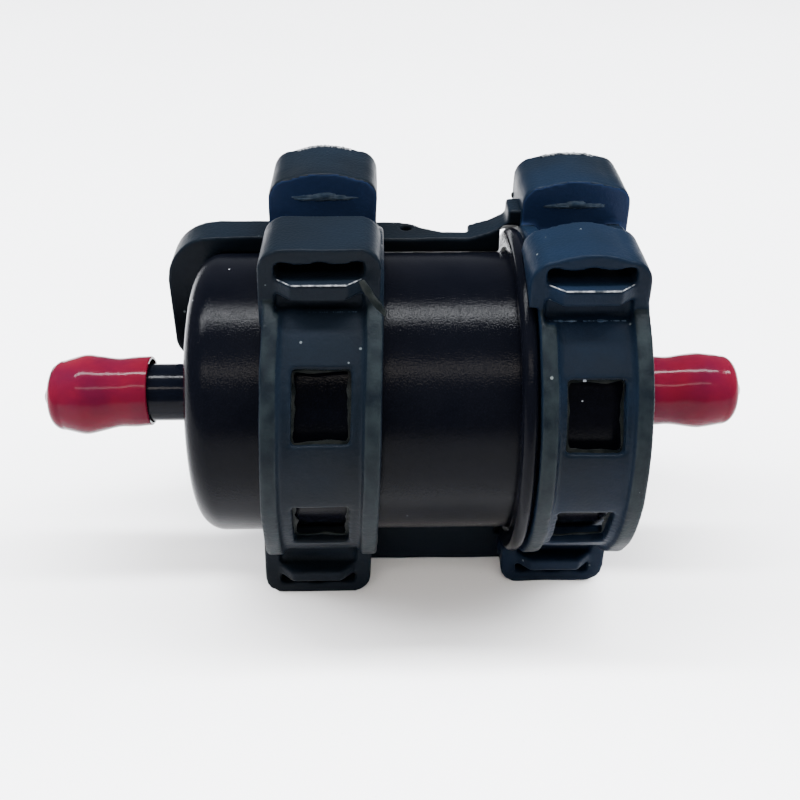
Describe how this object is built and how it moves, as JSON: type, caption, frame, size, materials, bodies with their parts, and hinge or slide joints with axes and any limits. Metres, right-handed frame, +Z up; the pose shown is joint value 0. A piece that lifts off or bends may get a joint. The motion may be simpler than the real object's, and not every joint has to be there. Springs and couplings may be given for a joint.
{
  "type": "fuel filter",
  "caption": "Inline fuel filter: a round black steel can with a rolled seam, hose pipes under red dust caps, and a black rubber cushion with slotted lugs.",
  "frame": {"origin": "on the ground that the cushion's feet stand on, under the middle of the filter, with the can's axis 27.5 mm above it", "axes": "+X along the can's axis from the inlet to the outlet, -Y the front with the cushion's windows, +Z up"},
  "size_m": [0.0984, 0.0456, 0.0562],
  "materials": {
    "can_paint": "satin black powder coat",
    "pipe_paint": "satin black coating on steel",
    "red_vinyl": "glossy dip-moulded vinyl",
    "cushion_rubber": "satin moulded rubber with fine flash",
    "seal_rubber": "smooth",
    "filter_paper": "resin-treated pleated paper",
    "tin_plate": "bright tin plate",
    "plastisol": "cured potting",
    "nylon": "natural moulded nylon"
  },
  "bodies": {
    "filter": {"can_body": "can_paint", "end_cover": "can_paint", "seam_gasket": "seal_rubber", "inlet_pipe": "pipe_paint", "outlet_pipe": "pipe_paint", "inlet_braze": "pipe_paint", "outlet_braze": "pipe_paint", "pleated_paper": "filter_paper", "paper_clip": "tin_plate", "centre_tube": "tin_plate", "inlet_glue_bed": "plastisol", "outlet_glue_bed": "plastisol", "inlet_end_plate": "tin_plate", "outlet_end_plate": "tin_plate", "element_seal": "seal_rubber", "support_plate": "nylon", "rubber_cushion": "cushion_rubber"},
    "inlet_cap": {"inlet_cap": "red_vinyl"},
    "outlet_cap": {"outlet_cap": "red_vinyl"}
  },
  "joints": [
    {"name": "inlet_cap_pull", "type": "slide", "parent": "filter", "child": "inlet_cap", "axis": [-1, 0, 0], "range_m": [0, 0.025]},
    {"name": "outlet_cap_pull", "type": "slide", "parent": "filter", "child": "outlet_cap", "axis": [1, 0, 0], "range_m": [0, 0.025]}
  ]
}
